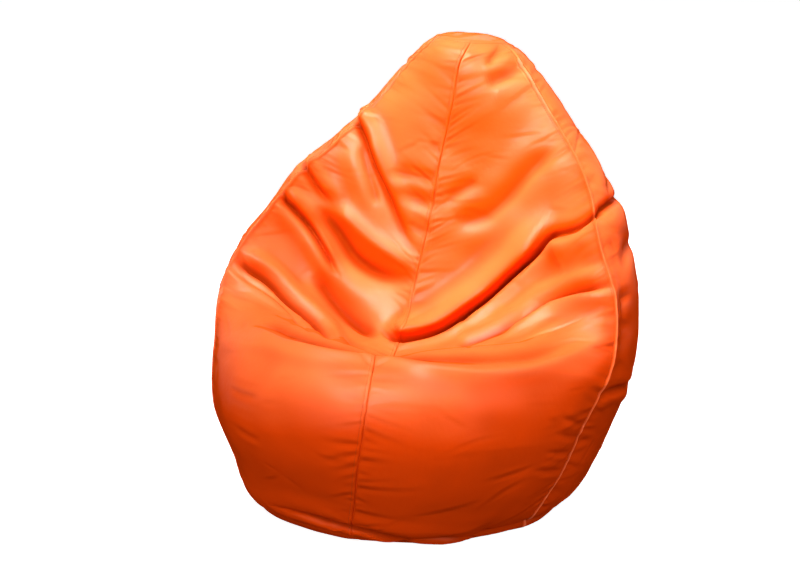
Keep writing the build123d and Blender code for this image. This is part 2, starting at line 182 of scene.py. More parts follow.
# reach of the averaged way up for the painted light, and half width of the painted highlight along a raised
# seam
PAINTED_LIGHT_REACH, RIDGE_HIGHLIGHT_WIDTH = 4, 3
FADES = (.18, .22)  # shares of a fold's length over which it comes up and dies away
PLEAT = (2.2, 5, dict(right=(.5, 11, 7), left=(.4, 11, 7), fades=(.5, .3)))
PLEATS = [  # short ones, where the side seams draw the belly up
    [(552, 417), (568, 422), (584, 427)],
    [(548, 433), (564, 436), (579, 437)],
    [(540, 451), (555, 452), (569, 450)],
    [(528, 469), (543, 469), (557, 466)],
    [(226, 386), (242, 394), (260, 400)],
    [(232, 424), (246, 434), (262, 442)],
]
FOLDS = {
    "seat_crease": ([(378, 326), (388, 335), (400, 340), (418, 338), (440, 329), (463, 314), (487, 296),
        (511, 274), (532, 255), (549, 239), (564, 228)], 19, 6, dict(right=(.2, 18, 14),
        left=(1.0, 34, 27), lean=.9)),
    "right_flap": ([(536, 250), (549, 239), (566, 234), (585, 225), (600, 213), (612, 203)], 13, 7,
        dict(right=(.62, 30, 34), left=(.1, 30, 20), lean=-.4, fades=(.15, .35), past=(0, 120))),
    "right_arm": ([(492, 338), (523, 322), (545, 307), (569, 298), (590, 292), (614, 287)], 12, 7,
        dict(right=(.9, 20, 15), left=(.5, 32, 24), lean=-.3, fades=(.3, .3))),
    "right_hook": ([(461, 323), (466, 313), (474, 305), (483, 299)], 6, 6, {}),
    "right_seat": ([(457, 346), (476, 340), (500, 330), (523, 317)], 7, 13, dict(right=(.4, 32, 22),
        left=(.7, 30, 22))),
    "left_long": ([(353, 112), (361, 130), (374, 163), (390, 198), (400, 224), (413, 244), (430, 254)],
        12, 8, dict(right=(.3, 40, 25), left=(.8, 22, 18), lean=.5, fades=(.2, .5), past=(80, 0))),
    "left_long_b": ([(360, 142), (366, 165), (372, 185), (379, 208)], 5, 8, {}),
    "left_hook": ([(304, 163), (311, 177), (319, 190), (335, 207)], 9, 7, dict(right=(.3, 25, 18),
        left=(.8, 15, 12), lean=.2, fades=(.2, .3), past=(80, 0))),
    "left_roll": ([(332, 207), (358, 229), (388, 251), (424, 272)], -7, 20, dict(right=NO_ROLL,
        left=NO_ROLL)),
    "left_valley": ([(312, 208), (334, 228), (350, 252), (368, 268), (398, 279), (422, 283)], 14, 15,
        dict(right=(.35, 48, 30), left=(.3, 42, 26), fades=(.25, .5))),
    "left_sharp": ([(286, 199), (299, 214), (311, 228), (330, 260), (342, 282)], 14, 6,
        dict(right=(.5, 20, 16), left=(.8, 16, 13), lean=.2, fades=(.2, .3), past=(80, 0))),
    "left_soft": ([(315, 272), (334, 299), (358, 323), (380, 338)], 11, 17, dict(right=(.3, 40, 25),
        left=(.3, 40, 25))),
    "left_arm": ([(238, 259), (265, 279), (289, 303), (311, 321), (328, 337)], 15, 7,
        dict(right=(.25, 24, 18), left=(.6, 26, 20), lean=-.1, fades=(.2, .25), past=(80, 0))),
    "left_arm_low": ([(236, 271), (262, 290), (288, 312), (312, 334)], 4, 6, dict(right=(.3, 16, 12),
        left=NO_ROLL, fades=(.2, .3), past=(60, 0))),
    "foot_crease": ([(266, 501), (291, 509), (316, 516), (342, 522), (359, 525), (384, 530), (409, 534),
        (443, 535), (477, 534)], 10, 3.5, dict(right=(.6, 13, 9), left=(.4, 24, 16), lean=.9,
        fades=(.45, .1))),
    "lip": ([(246, 323), (270, 337), (299, 347), (340, 355), (384, 360), (420, 366), (457, 372),
        (490, 373), (522, 370), (560, 358), (600, 337)], -8, 15, dict(right=NO_ROLL, left=(.9, 42, 26),
        fades=(.12, .15))),
    "back_right": ([(449, 222), (487, 215), (507, 198), (526, 176), (542, 159), (559, 138)], 5, 16,
        dict(right=(.4, 36, 24), left=(.3, 36, 24))),
    "back_mid": ([(445, 200), (462, 190), (478, 179)], 3, 11, {}),
    "seam_high": ([(392, 170), (418, 177), (438, 182)], 3, 7, {}),
    "seam_mid": ([(400, 190), (420, 199), (438, 204)], 3, 7, {}),
    "seam_low": ([(408, 221), (422, 230), (434, 233)], 3, 7, {}),
    "crown_dent": ([(485, 84), (500, 78), (514, 70), (524, 62)], 4, 13, {}),
    "crown_crease": ([(503, 38), (497, 48), (486, 66)], 4, 8, {}),
    "right_side": ([(606, 304), (618, 298), (629, 293)], 3.5, 8, dict(fades=(.3, .6))),
    "right_notch": ([(590, 398), (610, 392), (627, 387)], 7, 7, dict(right=(.6, 18, 14),
        left=(.3, 18, 14), fades=(.3, .35), past=(0, 60))),
}

# Round swells of the filling, or hollows below 0: the middle of each, how far it reaches, and its height
SWELLS = {
    "right_foot": ((325, -150, 80), 95, 20),
    "right_waist": ((415, 60, 490), 90, 10),
    "left_shoulder": ((-170, 140, 725), 95, -12),
    "left_belly": ((-395, -100, 265), 110, -13),
    "left_arm_top": ((-305, 45, 590), 100, -9),
    "right_flap_under": ((398, 110, 506), 26, 8),
}

# Patches that the filling has drawn sideways, with the seam on them: the middle, the reach and the way
SHIFTS = {
    "front_seam_low": ((36, -394, 140), 85, (-19, 0, 0)),
    "right_seam_waist": ((410, -88, 350), 150, (17, 18, 0)),
}

# Folds that the photograph doesn't show: the gore's number, the way in shares of its width and length, the
# depth and the half width
HIDDEN_FOLDS = [
    (1, [(.2, .49), (.42, .52), (.7, .50)], 3.5, 15),
    (1, [(.3, .62), (.55, .66), (.9, .74)], 3, 14),
    (1, [(.95, .26), (.7, .29), (.5, .28)], 2.5, 14),
    (4, [(.8, .45), (.55, .48), (.2, .55)], 3.5, 15),
    (4, [(.75, .60), (.5, .66), (.3, .76)], 3, 14),
    (2, [(.03, .58), (.3, .53), (.55, .51)], 3.5, 16),
    (2, [(.1, .72), (.4, .78), (.6, .86)], 3, 15),
    (3, [(.97, .50), (.75, .55), (.5, .64)], 3.5, 16),
    (3, [(.9, .74), (.6, .72), (.35, .77)], 3, 14),
    (3, [(.95, .24), (.7, .27), (.45, .25)], 2.5, 15),
]


def smooth(share):
    share = np.clip(share, 0, 1)
    return share * share * (3 - 2 * share)


def norm(vectors):
    """Lengths of the vectors."""
    return np.linalg.norm(vectors, axis=-1)


def unit(vectors):
    return vectors / np.maximum(norm(vectors)[..., None], 1e-9)


def length_along(points):
    """How far along a line each of its points is."""
    return np.concatenate([[0], np.cumsum(norm(np.diff(points, axis=0)))])


def slump(points):
    """Points moved sideways as the filled sack has settled."""
    points = np.array(points, float)
    low, high = LEAN_RANGE
    height = points[:, 2]
    points[:, 0] += BELLY_SHIFT * smooth(height / BELLY_RISE)
    points[:, 0] += CROWN_LEAN * smooth((height - low) / (high - low))
    return points


def row_shares():
    """How far up the gores each row of their meshes is."""
    return np.concatenate([np.linspace(0, FOOT_SHARE, FOOT_ROWS, endpoint=False),
                           np.linspace(FOOT_SHARE, 1, ROWS - FOOT_ROWS)])


def curve_through(points, shares):
    """A smooth curve through the points, at shares of its length."""
    points = np.asarray(points, float)
    knots = length_along(points)
    steps = np.diff(knots)
    count = len(points)
    matrix, right = np.zeros((count, count)), np.zeros((count, 3))
    matrix[0, 0] = matrix[-1, -1] = 1
    for i in range(1, count - 1):
        matrix[i, i - 1:i + 2] = steps[i - 1], 2 * (steps[i - 1] + steps[i]), steps[i]
        right[i] = 6 * ((points[i + 1] - points[i]) / steps[i] - (points[i] - points[i - 1]) / steps[i - 1])
    bends = np.linalg.solve(matrix, right)

    def at(t):
        i = np.clip(np.searchsorted(knots, t) - 1, 0, count - 2)
        h, a, b = steps[i][:, None], (knots[i + 1] - t)[:, None], (t - knots[i])[:, None]
        return ((bends[i] * a ** 3 + bends[i + 1] * b ** 3) / (6 * h)
                + (points[i] / h - bends[i] * h / 6) * a + (points[i + 1] / h - bends[i + 1] * h / 6) * b)

    fine = np.linspace(0, knots[-1], CURVE_STEPS_EACH * count + CURVE_STEPS)
    run = length_along(at(fine))
    return at(np.interp(shares * run[-1], run, fine))


def corner(radius, degrees, middle):
    turn = math.radians(degrees)
    return (middle[0] + radius * math.sin(turn), middle[1] - radius * math.cos(turn), middle[2])


def zip_point(degrees):
    turn = math.radians(degrees)
    return (0, ZIP_CENTRE[1] + ZIP_RADIUS * math.cos(turn), ZIP_CENTRE[2] + ZIP_RADIUS * math.sin(turn))


def seam_lines():
    back = BACK_FOOT + [zip_point(degrees) for degrees in BACK_ARC] + BACK_SHOULDER
    crown = slump([(0, CROWN_Y, CROWN_HEIGHT)])[0]
    lines = []
    ways = [FRONT_SEAM, RIGHT_FORE_SEAM, RIGHT_AFT_SEAM, back, LEFT_AFT_SEAM, LEFT_FORE_SEAM]
    for number, way in enumerate(ways):
        start = corner(BASE_RADIUS, 60 * number, (0, 0, COVER))
        end = corner(CROWN_RADIUS, 60 * number + CROWN_TWIST, crown)
        lines.append(curve_through([start, *slump(way), end], row_shares()))
    return lines


def gore_grid(number, lines, share_across):
    """A gore's rows of points, each an arc from one seam to the next, level near the base and the crown."""
    first, second = lines[number], lines[(number + 1) % 6]
    up = np.gradient(first, axis=0) + np.gradient(second, axis=0)
    out = np.cross(second - first, up)
    height = (first[:, 2] + second[:, 2]) / 2
    out[:, 2] *= smooth((height - COVER) / BELLY_RISE) * smooth((CROWN_HEIGHT - height) / CROWN_FALL)
    shares, bulges = zip(*list(GORES.values())[number])
    sag = np.interp(row_shares(), shares, bulges) * norm(second - first)
    share = share_across[..., None]
    straight = first[:, None] * (1 - share) + second[:, None] * share
    return straight + (unit(out) * sag[:, None])[:, None] * (4 * share * (1 - share))


def grid_normals(grid):
    return unit(np.cross(np.gradient(grid, axis=1), np.gradient(grid, axis=0)))


def camera_ray(pixel):
    """The way from the photograph's camera through a pixel."""
    pitch, heading = math.radians(CAMERA_PITCH), math.radians(CAMERA_HEADING)
    ahead = np.array([-math.sin(heading), math.cos(heading), 0]) * math.cos(pitch) - [0, 0, math.sin(pitch)]
    right = np.array([math.cos(heading), math.sin(heading), 0])
    x = (pixel[0] - PHOTO_WIDTH / 2) / FOCAL_PIXELS
    y = (PHOTO_HEIGHT / 2 - pixel[1]) / FOCAL_PIXELS
    return unit(ahead + right * x + np.cross(right, ahead) * y)


class Skin:
    """The cover's six grids, and how far each point is moved from the smooth form."""

    def __init__(self):
        step = np.linspace(0, 1, COLUMNS)
        spread = (1 - EDGE_CROWDING) * step + EDGE_CROWDING * 0.5 * (1 - np.cos(math.pi * step))
        share = np.repeat(spread[None], ROWS, axis=0)
        self.lines = seam_lines()
        room = SLOT / 2 * self.beside_zip(SLOT_PAST, SLOT_ROUND)
        half = (room / norm(self.lines[3] - self.lines[2]))[:, None]
        shares = {2: share - half * share ** SLOT_CROWDING, 3: share + half * (1 - share) ** SLOT_CROWDING}
        self.base = [gore_grid(number, self.lines, shares.get(number, share)) for number in range(6)]
        self.normals = [grid_normals(grid) for grid in self.base]
        self.share_seam_normals()
        self.push = [np.zeros((ROWS, COLUMNS)) for _ in range(6)]
        self.slide = [np.zeros((ROWS, COLUMNS, 3)) for _ in range(6)]
        faces = [grid_faces(ROWS, COLUMNS) + number * ROWS * COLUMNS for number in range(6)]
        points = np.reshape(self.base, (-1, 3))
        self.tree = BVHTree.FromPolygons(points.tolist(), np.concatenate(faces).tolist())

    def beside_zip(self, past, fade):
        """1 for the rows along the zip and a little past it, and 0 further on."""
        back = self.lines[3]
        along = np.arctan2(back[:, 2] - ZIP_CENTRE[2], back[:, 1] - ZIP_CENTRE[1]) * ZIP_RADIUS
        return smooth((along - ZIP_ENDS[0] + past) / fade) * smooth((ZIP_ENDS[1] + past - along) / fade)

    def share_seam_normals(self, reach=30.0):
        """Near a seam both gores lean towards one shared way out, so that they stay joined."""
        shared = [unit(self.normals[n][:, 0] + self.normals[n - 1][:, -1]) for n in range(6)]
        for n in range(6):
            for seam, distance in self.seams_of(n):
                own = smooth(distance / reach)[..., None]
                self.normals[n] = unit(self.normals[n] * own + shared[seam][:, None] * (1 - own))

    def seams_of(self, number):
        """The numbers of a gore's two seams, each with the distance of every point from it."""
        steps = norm(np.diff(self.base[number], axis=1))
        run = np.concatenate([np.zeros((ROWS, 1)), np.cumsum(steps, axis=1)], axis=1)
        return (number, run), ((number + 1) % 6, run[:, -1:] - run)

    def way_on_cloth(self, pixels, before, after):
        """Points of the smooth form under the pixels, and on before and after them, with the ways out."""
        points, normals = [], []
        for pixel in pixels:
            ray = camera_ray(pixel)
            place, normal, _, _ = self.tree.ray_cast(Vector(CAMERA_PLACE), Vector(ray))
            if place is None:
                beside = CAMERA_PLACE + ray * norm(CAMERA_PLACE)
                place, normal, _, _ = self.tree.find_nearest(Vector(beside))
            points.append(place)
            normals.append(normal)
        points, normals = np.array(points), np.array(normals)
        for far, first, second, index in ((before, 0, 1, 0), (after, -1, -2, len(points))):
            if far:
                spot = points[first] + unit(points[first] - points[second]) * far
                place, normal, _, _ = self.tree.find_nearest(Vector(spot))
                points = np.insert(points, index, place, axis=0)
                normals = np.insert(normals, index, normal, axis=0)
        return points, normals

    def way_on_gore(self, number, way):
        """Points at shares of a gore's width and length, with the ways out."""
        rows = [int(np.searchsorted(row_shares(), up)) for _, up in way]
        columns = [round(across * (COLUMNS - 1)) for across, _ in way]
        return self.base[number][rows, columns], self.normals[number][rows, columns]

    def gores(self):
        """Each gore's smooth form, ways out, pushes and slides."""
        return zip(self.base, self.normals, self.push, self.slide)

    def surface(self):
        grids = [base + normal * push[..., None] + slide for base, normal, push, slide in self.gores()]
        for grid in grids:
            grid[..., 2] = np.maximum(grid[..., 2], COVER)
        return grids


def grid_faces(rows, columns):
    index = np.arange(rows * columns).reshape(rows, columns)
    corners = [index[:-1, :-1], index[:-1, 1:], index[1:, 1:], index[1:, :-1]]
    return np.stack(corners, axis=-1).reshape(-1, 4)


def ring_faces(rings, columns):
    """Faces of a grid whose rows close on themselves."""
    index = np.arange(rings * columns).reshape(rings, columns)
    beside = np.roll(index, -1, axis=1)
    return np.stack([index[:-1], beside[:-1], beside[1:], index[1:]], axis=-1).reshape(-1, 4)


def bell(value, width):
    return np.exp(-(value / width) ** 2)


def interpolate(places, run, vectors):
    """Vectors along a line, at places between its points."""
    return np.stack([np.interp(places, run, vectors[:, axis]) for axis in range(3)], axis=1)


def fold(skin, points, normals, depth, width, right=PLAIN_ROLL, left=PLAIN_ROLL, lean=0, fades=FADES):
    """Presses one valley into the cloth, with its rolls, and lets a roll lean over the valley."""
    depth = depth * FOLD_SCALE
    run = length_along(points)
    share = np.linspace(0, 1, max(int(run[-1] / FOLD_STEP), 8))
    line = curve_through(points, share)
    out = unit(interpolate(share, run / run[-1], normals))
    along = unit(np.gradient(line, axis=0))
    side = unit(np.cross(along, out))
    taper = smooth(share / fades[0] + FOLD_START) * smooth((1 - share) / fades[1] + FOLD_START)
    reach = max(width * 3, right[1] + 2 * right[2], left[1] + 2 * left[2])
    low, high = line.min(axis=0) - reach, line.max(axis=0) + reach
    for grid, ways, push, slide in skin.gores():
        mask = np.all((grid > low) & (grid < high), axis=2)
        if not mask.any():
            continue
        spots = grid[mask]
        nearest = np.array([np.argmin(((line - spot) ** 2).sum(axis=1)) for spot in spots])
        offset = spots - line[nearest]
        across = (offset * side[nearest]).sum(axis=1)
        beyond = (offset * along[nearest]).sum(axis=1)
        apart = norm(offset)
        facing = np.clip((ways[mask] * out[nearest]).sum(axis=1) * FOLD_FACING, 0, 1)
        inside = (apart < reach) * smooth((reach - apart) / (reach * FOLD_RIM))
        strength = taper[nearest] * bell(beyond, FOLD_ENDS) * facing * inside
        valley = -1 / (1 + (across / width) ** 2) ** FOLD_SHARP
        roll_right = right[0] * bell(across - right[1], right[2])
        roll_left = left[0] * bell(across + left[1], left[2])
        push[mask] += depth * strength * (valley + roll_right + roll_left)
        tip = depth * lean * strength * (roll_left if lean > 0 else roll_right)
        slide[mask] += tip[:, None] * side[nearest]


def fold_in_photo(skin, way, depth, width, past=(0, 0), **more):
    fold(skin, *skin.way_on_cloth(way, *past), depth, width, **more)


def waves(points, seed, lengths, count):
    """Smooth uneven ups and downs, about -1 to 1, with wave lengths between the two given."""
    rng = np.random.default_rng(seed)
    total = np.zeros(points.shape[:-1])
    for _ in range(count):
        way = unit(rng.normal(size=3))
        length = rng.uniform(*lengths)
        total += np.sin(points @ way * (2 * math.pi / length) + rng.uniform(0, 2 * math.pi))
    return total / math.sqrt(count)


def undulate(skin, rng):
    """The slack of cloth over loose beads: slow swells and fine unevenness."""
    seeds = rng.integers(1 << 30), rng.integers(1 << 30)
    for grid, push in zip(skin.base, skin.push):
        for seed, (height, lengths, count) in zip(seeds, (SLOW_WAVES, FINE_WAVES)):
            push += height * waves(grid, seed, lengths, count)


def wrinkle(across, width):
    """A small valley with one raised edge."""
    return bell(across, width) - WRINKLE_EDGE * bell(across - 2 * width, width)


def swell(skin, middle, reach, height):
    """Fills the cloth out over a round patch."""
    for grid, push in zip(skin.base, skin.push):
        push += height * bell(norm(grid - middle), reach)


def shift(skin, middle, reach, way):
    """Draws the cloth of a round patch sideways, in its own plane."""
    for grid, outs, _, slide in skin.gores():
        flat = np.array(way) - (outs @ np.array(way))[..., None] * outs
        slide += flat * bell(norm(grid - middle), reach)[..., None]


def pucker(skin, rng):
    """Short wrinkles square to each seam, where the stitching has drawn the cloth up."""
    for number in range(6):
        for seam, distance in skin.seams_of(number):
            run = length_along(skin.lines[seam])
            place = rng.uniform(*PUCKER_START)
            while place < run[-1] - PUCKER_END:
                reach, depth, slant, width = [rng.uniform(*limits) for limits in PUCKER.values()]
                rows = np.abs(run - place) < 4 * width + abs(slant) * 2 * reach
                part = distance[rows]
                across = run[rows][:, None] - place - slant * part
                fade = bell(part, reach) * smooth(part / PUCKER_CLEAR)
                skin.push[number][rows] -= depth * fade * wrinkle(across, width)
                place += rng.uniform(*PUCKER_GAP)


def crinkle(skin, rng):
    """Short, shallow wrinkles, most of them level, scattered where the cloth is slack."""
    for number, (grid, ways, push, _) in enumerate(skin.gores()):
        (_, near), (_, far) = skin.seams_of(number)
        clear = smooth(np.minimum(near, far) / CRINKLE_CLEAR)
        for _ in range(CRINKLES):
            row, column = rng.integers(*CRINKLE_ROWS), rng.integers(*CRINKLE_COLUMNS)
            out = ways[row, column]
            level = unit(np.cross([0, 0, 1], out))
            steep = np.cross(out, level)
            turn = rng.normal(0, CRINKLE_TURN)
            offset = grid - grid[row, column]
            along = offset @ (level * math.cos(turn) + steep * math.sin(turn))
            length, width, bend, depth = [rng.uniform(*limits) for limits in CRINKLE.values()]
            across = offset @ (steep * math.cos(turn) - level * math.sin(turn)) + bend * along ** 2
            near = bell(along, length) * (np.abs(offset @ out) < CRINKLE_THROUGH)
            push -= depth * clear * near * wrinkle(across, width)


def quiet_zip(skin, reach=60.0):
    """Lets the cloth lie flat on the zip in the back seam."""
    along = skin.beside_zip(ZIP_CALM_PAST, ZIP_CALM_FADE)
    for number in (2, 3):
        distance = dict(skin.seams_of(number))[3]
        skin.push[number] *= 1 - along[:, None] * (1 - smooth((distance - ZIP_CALM_SIDE) / reach))
    return along


def tuck(skin, rng):
    """Above the floor the belly hangs over a band, and an uneven crease parts them."""
    seed = rng.integers(1 << 30)
    rise, lengths, count = BAND_WAVES
    for grid, _, push, slide in skin.gores():
        height = grid[..., 2] + rise * waves(grid * [1, 1, 0], seed, lengths, count)
        lift = smooth(grid[..., 2] / BAND_RISE)
        for middle, width, swelling in BAND_SWELLS:
            push += lift * swelling * bell(height - middle, width)
        middle, width, sag = BAND_SAG
        slide[..., 2] -= lift * sag * bell(height - middle, width)


def round_crown(skin):
    """Draws the gores in over the edge of the cap, and keeps that edge clean."""
    middle = slump([(0, CROWN_Y, CROWN_HEIGHT)])[0]
    for grid, _, push, slide in skin.gores():
        under = norm(grid - grid[-1:])
        plain = smooth((under - CROWN_PLAIN) / CROWN_FADE)
        push *= plain
        slide *= plain[..., None]
        slide += unit((middle - grid) * [1, 1, 0]) * (CROWN_DRAW * bell(under, CROWN_DRAW_REACH))[..., None]
        rightwards = np.clip(.5 + .5 * (grid[..., 0] - middle[0]) / CROWN_RADIUS, 0, 1)
        slide[..., 2] -= CAP_TIP * rightwards * smooth(1 - under / CAP_TIP_REACH)


def sew(skin, zip_share):
    """Draws each seam in, or lets it stand up as a fine ridge, and raises the felled edge beside it."""
    for number, (grid, _, push, _) in enumerate(skin.gores()):
        clear = smooth(norm(grid - grid[-1:]) / SEW_FROM_CAP) * smooth(grid[..., 2] / SEW_FROM_FLOOR)
        for seam, distance in skin.seams_of(number):
            plain = clear * (1 - zip_share[:, None]) if seam == 3 else clear
            if seam in RAISED_SEAMS:
                push += plain * sum(rise * bell(distance - place, width) for place, width, rise in RIDGE)
            else:
                push -= plain * SEAM_DRAW * np.exp(-distance / SEAM_DRAW_REACH)
            if seam != number:
                felled = smooth(distance / FELL_SLOPE) * smooth((FELL_WIDTH - distance) / FELL_SLOPE)
                push += FELL_RISE * plain * felled


def add_object(name, data):
    made = bpy.data.objects.new(name, data)
    bpy.context.scene.collection.objects.link(made)
    return made


def make_object(name, points, faces):
    """A mesh piece from points in millimetres."""
    mesh = bpy.data.meshes.new(name)
    mesh.from_pydata((np.asarray(points) * MM).tolist(), [], [[int(i) for i in face] for face in faces])
    mesh.validate()
    mesh.polygons.foreach_set("use_smooth", [True] * len(mesh.polygons))
    return add_object(name, mesh)


def apply_modifier(piece, kind, **settings):
    modifier = piece.modifiers.new(kind.lower(), kind)
    for setting, value in settings.items():
        setattr(modifier, setting, value)
    bpy.ops.object.select_all(action="DESELECT")
    piece.select_set(True)
    bpy.context.view_layer.objects.active = piece
    bpy.ops.object.modifier_apply(modifier=modifier.name)


def dress(piece, material, slot, *nodes):
    """Gives the piece its material, and its place on the sack instead of the frame's own nodes."""
    piece.data.materials.append(material)
    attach(piece, ROOT)
    if nodes:
        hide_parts(*nodes)


def sew_panel(name, grid, thickness):
    """A cloth panel from a grid of points on its outside."""
    rows, columns = grid.shape[:2]
    piece = make_object(name, grid.reshape(-1, 3), grid_faces(rows, columns))
    apply_modifier(piece, "SOLIDIFY", thickness=thickness * MM, offset=-1)
    return piece


def disc_grid(rim, rings, inner=None, shape=None):
    """Rings from a rim in to an inner outline or to the middle, with a shape's height added."""
    if inner is None:
        inner = np.repeat(rim.mean(axis=0)[None], len(rim), axis=0)
    share = np.linspace(0, 1, rings)[:, None, None]
    grid = rim[None] * (1 - share) + inner[None] * share
    if shape:
        grid[..., 2] += shape(grid, share[..., 0])
    return grid


def sew_disc(name, grid, thickness, faces_up=True):
    """A round panel from rings of points, which close on themselves."""
    faces = ring_faces(*grid.shape[:2])
    piece = make_object(name, grid.reshape(-1, 3), faces if faces_up else faces[:, ::-1])
    apply_modifier(piece, "WELD", merge_threshold=WELD * MM)
    apply_modifier(piece, "SOLIDIFY", thickness=thickness * MM, offset=-1)
    return piece


def rim_of(grids, row):
    return np.concatenate([grid[row, :-1] for grid in grids])


def capsules(name, centres, ways, outs, size):
    """Many small rounded bars: size is (length, width, height)."""
    turns = np.linspace(0, 2 * math.pi, BAR_SIDES, endpoint=False)
    shape = np.array([(along, wide * math.cos(turn) / 2, wide * math.sin(turn) / 2)
                      for along, wide in BAR_STATIONS for turn in turns]) * size
    sides = unit(np.cross(outs, ways))
    points = (centres[:, None] + shape[None, :, :1] * ways[:, None] + shape[None, :, 1:2] * sides[:, None]
              + shape[None, :, 2:] * outs[:, None])
    starts = len(shape) * np.arange(len(centres))
    every = (ring_faces(len(BAR_STATIONS), BAR_SIDES)[None] + starts[:, None, None]).reshape(-1, 4)
    return make_object(name, points.reshape(-1, 3), every)


def row_beside_seam(grid, edge, offset):
    """The line on a gore at a distance from its first (0) or last (-1) seam, and the ways out along it."""
    side = grid if edge == 0 else grid[:, ::-1]
    run = np.cumsum(norm(np.diff(side, axis=1)), axis=1)
    line = np.array([interpolate([offset], [0, *far], row)[0] for far, row in zip(run, side)])
    normals = grid_normals(side) * (1 if edge == 0 else -1)
    return line, normals[np.arange(len(side)), np.argmax(run > offset, axis=1)]


def stitch(name, line, normals, rows, material):
    """Lockstitch along a line: one short bar of thread for each stitch."""
    line, normals = line[rows[0]:rows[1]], normals[rows[0]:rows[1]]
    run = length_along(line)
    places = np.arange(STITCH_PITCH, run[-1], STITCH_PITCH)
    centres, outs = interpolate(places, run, line), unit(interpolate(places, run, normals))
    ways = unit(interpolate(places + 1, run, line) - interpolate(places - 1, run, line))
    outs = unit(outs - ways * (outs * ways).sum(axis=1, keepdims=True))
    piece = capsules(name, centres + outs * STITCH_RISE, ways, outs, STITCH)
    dress(piece, material, "leatherette")


def linear(code):
    """An sRGB hex colour as linear RGBA."""
    parts = [int(code[i:i + 2], 16) / 255 for i in (1, 3, 5)]
    return [part / 12.92 if part <= .04045 else ((part + .055) / 1.055) ** 2.4 for part in parts] + [1]


def set_inputs(tree, node, inputs):
    """Sets a node's inputs to values, or links them from other nodes' sockets."""
    for socket, value in inputs.items():
        if isinstance(value, bpy.types.NodeSocket):
            tree.links.new(value, node.inputs[socket])
        else:
            node.inputs[socket].default_value = value


def add_node(tree, kind, inputs=None, **settings):
    """Adds a node, with its settings and its inputs."""
    made = tree.nodes.new("ShaderNode" + kind)
    for setting, value in settings.items():
        setattr(made, setting, value)
    set_inputs(tree, made, inputs or {})
    return made


def by_socket(values):
    """Values under the names of their sockets, such as Base Color for base_color."""
    return {name.replace("_", " ").title().replace("Ior", "IOR"): value for name, value in values.items()}


def shade(material, **inputs):
    """Sets or links the inputs of a material's shader."""
    tree = material.node_tree
    set_inputs(tree, tree.nodes["Principled BSDF"], by_socket(inputs))
    return material


def new_material(name, **inputs):
    """A material, its node tree, and the place on the object for its textures."""
    material = bpy.data.materials.new(name)
    material.use_nodes = True
    place = add_node(material.node_tree, "TexCoord").outputs["Object"]
    return shade(material, **inputs), material.node_tree, place


def mix_colours(tree, factor, first, second):
    """A mix of two colours, each a hex code or another node's socket."""
    first, second = [linear(one) if isinstance(one, str) else one for one in (first, second)]
    return add_node(tree, "Mix", {0: factor, 6: first, 7: second}, data_type="RGBA").outputs[2]


def combine(tree, operation, first, second):
    return add_node(tree, "Math", {0: first, 1: second}, operation=operation).outputs[0]


def texture(tree, kind, place, pitch, inputs=None, **settings):
    """A texture whose forms are about a pitch apart, in millimetres."""
    inputs = {"Vector": place, "Scale": 1 / (pitch * MM), **(inputs or {})}
    made = add_node(tree, "Tex" + kind, inputs, **settings)
    return made.outputs["Distance" if kind == "Voronoi" else "Fac"]


def noise(tree, place, pitch, detail):
    return texture(tree, "Noise", place, pitch, {"Detail": detail})


def stripes(tree, place, pitch, direction, distortion=0.0):
    bent = {"Distortion": distortion}
    return texture(tree, "Wave", place, pitch * math.pi, bent, bands_direction=direction)


def map_range(tree, value, low, high, **limits):
    inputs = by_socket(dict(value=value, to_min=low, to_max=high, **limits))
    return add_node(tree, "MapRange", inputs).outputs["Result"]


def bump(tree, height, strength, depth, under=None, invert=False):
    """Relief of a depth in millimetres, over another one if given."""
    inputs = {"Height": height, "Strength": strength, "Distance": depth * MM}
    if under:
        inputs["Normal"] = under
    return add_node(tree, "Bump", inputs, invert=invert).outputs["Normal"]


def leatherette():
    """PVC leatherette, satin, embossed with a fine pebble grain, with painted light where it faces up and
    along the raised seam ridges, and painted shade deep in the folds.
    """
    material, tree, place = new_material("orange_pvc_leatherette")
    grain = texture(tree, "Voronoi", place, 1.8, feature="SMOOTH_F1")
    crease = noise(tree, place, 9, 4.0)
    painted_light, painted_fold_shade = [add_node(tree, "Attribute", attribute_name=name).outputs["Fac"]
                    for name in ("painted_light", "painted_fold_shade")]
    own_colour = mix_colours(tree, noise(tree, place, 150, 3.0), LEATHERETTE_DEEP, LEATHERETTE)
    lit_colour = mix_colours(tree, painted_light, own_colour, LEATHERETTE_PAINTED_LIGHT)
    facing = add_node(tree, "LayerWeight", {"Blend": .5}).outputs["Facing"]
    turned = map_range(tree, facing, .3, .0, from_min=.2, from_max=.8)
    # painted light and painted shade: paler colour and the specular where the cloth faces up, darker colour
    # deep in the folds
    return shade(material, base_color=mix_colours(tree, painted_fold_shade, lit_colour, LEATHERETTE_PAINTED_SHADE),
                 specular_ior_level=combine(tree, "MULTIPLY", turned, painted_light),
                 roughness=map_range(tree, crease, .36, .5),
                 normal=bump(tree, crease, .4, .7, under=bump(tree, grain, .35, .12)))


def woven(name, first, second, pitch):
    """A plain weave: two crossed sets of yarns."""
    material, tree, place = new_material(name, roughness=.85, sheen_weight=.25)
    crossed = combine(tree, "MULTIPLY", *[stripes(tree, place, pitch, way, .6) for way in ("X", "Z")])
    return shade(material, base_color=mix_colours(tree, crossed, first, second),
                 normal=bump(tree, crossed, .5, .2))


def spun_thread():
    """Bonded polyester thread, with the twist of its plies."""
    material, tree, place = new_material("polyester_thread", roughness=.6, specular_ior_level=.05)
    twist = stripes(tree, place, .7, "DIAGONAL")
    return shade(material, base_color=mix_colours(tree, twist, THREAD_DEEP, THREAD),
                 normal=bump(tree, twist, .4, .1))


